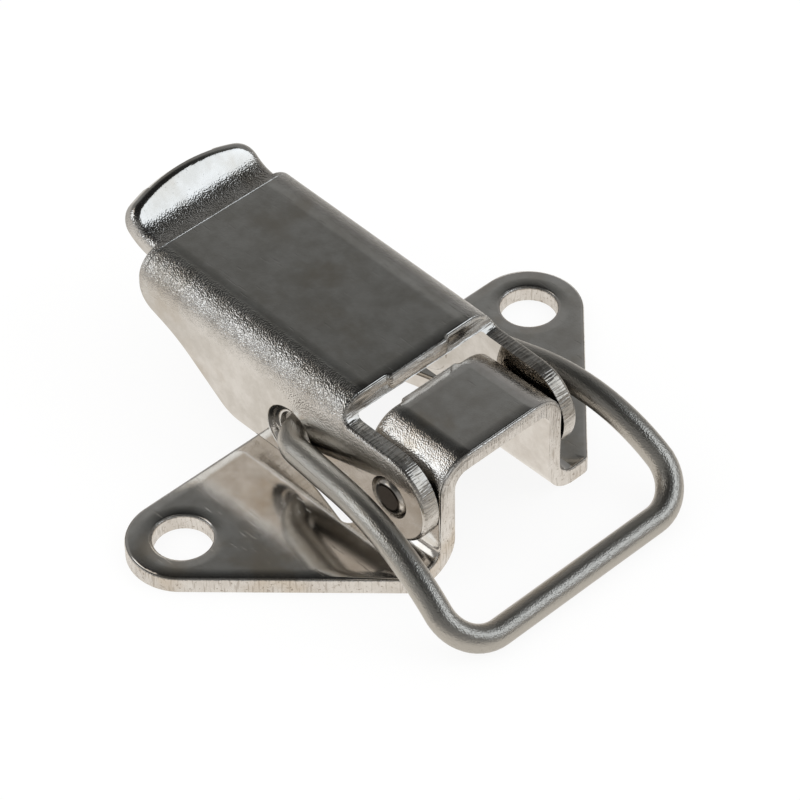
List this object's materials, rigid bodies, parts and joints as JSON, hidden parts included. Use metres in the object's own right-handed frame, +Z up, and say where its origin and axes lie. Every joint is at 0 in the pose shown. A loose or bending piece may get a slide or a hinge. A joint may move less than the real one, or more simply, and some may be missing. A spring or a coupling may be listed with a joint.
{
  "type": "over centre toggle latch",
  "caption": "Screw-mounted over centre toggle latch: two-winged pressed base with a raised bridge, folded lever with finger tab, and a wire bail loop that hooks over a keeper.",
  "frame": {"origin": "midway between the two screw holes, on the mounting face of the base plate", "axes": "+X the way the bail pulls, towards the keeper; +Y along the row of screw holes; +Z up off the mounting face"},
  "size_m": [0.0515, 0.052, 0.0171],
  "materials": {
    "plated_sheet": "bright nickel plate on pressed steel sheet, slightly pebbled on the bends",
    "plated_pin": "bright nickel plate on turned steel",
    "plated_wire": "nickel plate on drawn steel wire, fine lengthwise draw marks"
  },
  "bodies": {
    "base": {"base_plate": "plated_sheet", "lever_pin": "plated_pin"},
    "lever_body": {"lever": "plated_sheet"},
    "bail_body": {"bail": "plated_wire"}
  },
  "joints": [
    {"name": "lever_swing", "type": "hinge", "parent": "base", "child": "lever_body", "pos_m": [0.0131, 0, 0.0073], "axis": [0, 1, 0], "range_deg": [0, 160]},
    {"name": "bail_swing", "type": "hinge", "parent": "lever_body", "child": "bail_body", "pos_m": [0.00071, 0, 0.00638], "axis": [0, 1, 0], "range_deg": [-160, 0]}
  ],
  "couplings": [
    {"joint": "bail_swing", "follows": "lever_swing", "ratio": -1}
  ]
}
